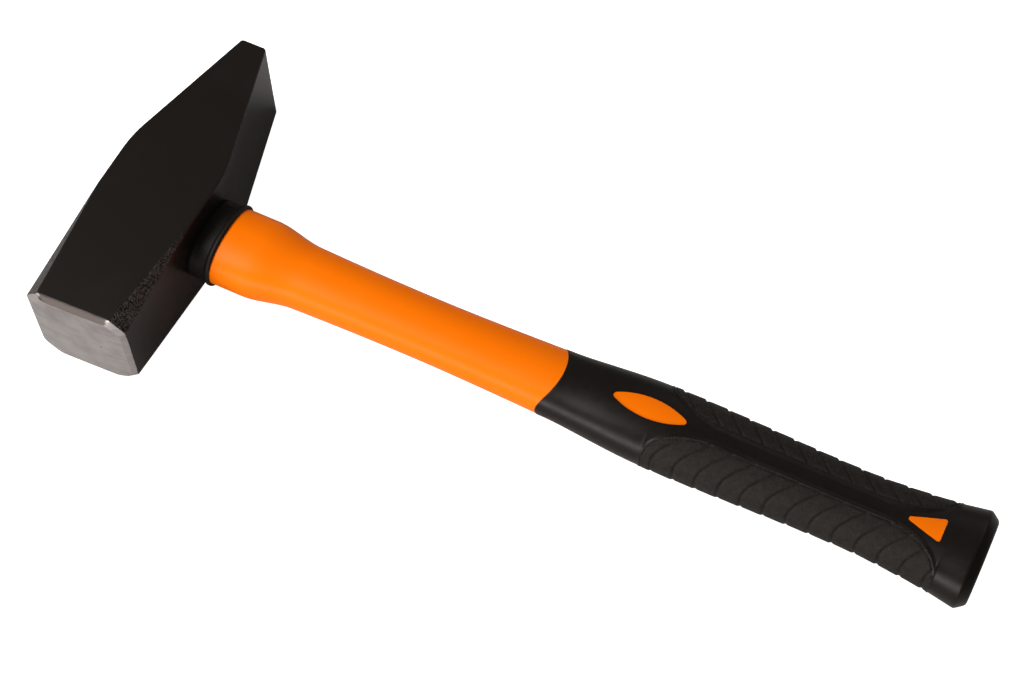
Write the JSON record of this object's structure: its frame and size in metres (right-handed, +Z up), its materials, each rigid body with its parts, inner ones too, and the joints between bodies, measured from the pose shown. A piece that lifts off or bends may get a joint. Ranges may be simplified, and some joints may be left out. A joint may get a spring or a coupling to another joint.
{
  "type": "cross-peen hammer",
  "caption": "Heavy cross-peen hammer: square forged head with a crowned face, fibreglass handle with plastic jacket, soft ribbed grip and a lipped rubber collar.",
  "frame": {"origin": "on the head's lower cheek, straight under the middle of the eye, with the hammer lying on that cheek", "axes": "+X along the handle from the head to the butt, +Y to the cross peen and -Y to the striking face, +Z up from the lower cheek to the upper cheek"},
  "size_m": [0.4, 0.155, 0.047],
  "materials": {
    "head_paint": "satin",
    "eye_resin": "gloss",
    "core_fibreglass": "matte",
    "jacket_plastic": "satin",
    "collar_rubber": "satin",
    "grip_rubber": "matte"
  },
  "bodies": {
    "root": {"head": "head_paint", "eye_epoxy": "eye_resin", "core_rod": "core_fibreglass", "handle_jacket": "jacket_plastic", "neck_collar": "collar_rubber", "grip_sleeve": "grip_rubber"}
  },
  "joints": []
}
